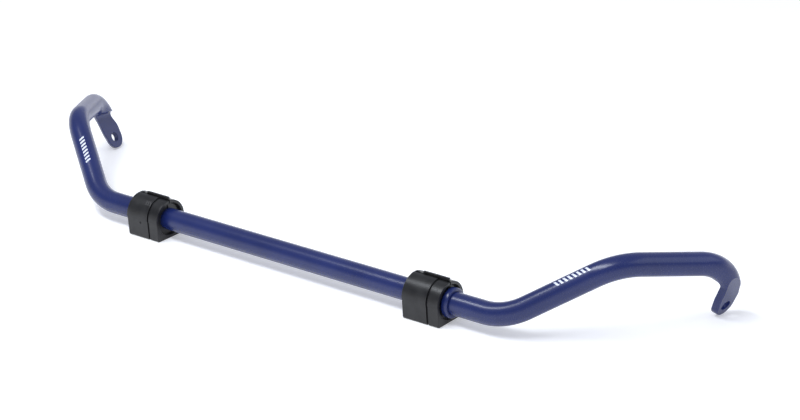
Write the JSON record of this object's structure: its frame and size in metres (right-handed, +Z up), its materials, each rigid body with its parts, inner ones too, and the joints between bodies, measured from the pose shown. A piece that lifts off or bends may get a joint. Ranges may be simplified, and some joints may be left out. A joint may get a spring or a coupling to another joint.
{
  "type": "sway bar",
  "caption": "Bent round sway bar with forged flat link ends, two split D-section frame bushings and two lock collars.",
  "frame": {"origin": "middle of the bar, on the axis of its straight length, halfway between the two bushings", "axes": "+X along the bar's straight axis to its right-hand end, +Y back towards the tips of the two arms, +Z up, away from the bushings' flat seats"},
  "size_m": [0.9594, 0.2194, 0.0964],
  "materials": {
    "blue_powder_coat": "satin",
    "blue_collar": "satin",
    "black_rubber": "satin"
  },
  "bodies": {
    "bar": {"sway_bar": "blue_powder_coat", "left_lock_collar": "blue_collar", "right_lock_collar": "blue_collar"},
    "left_bushing": {"left_bushing": "black_rubber"},
    "right_bushing": {"right_bushing": "black_rubber"}
  },
  "joints": [
    {"name": "left_bushing_turn", "type": "hinge", "parent": "bar", "child": "left_bushing", "pos_m": [-0.207, 0, 0], "axis": [1, 0, 0], "range_deg": [-30, 30]},
    {"name": "right_bushing_turn", "type": "hinge", "parent": "bar", "child": "right_bushing", "pos_m": [0.205, 0, 0], "axis": [1, 0, 0], "range_deg": [-30, 30]}
  ]
}
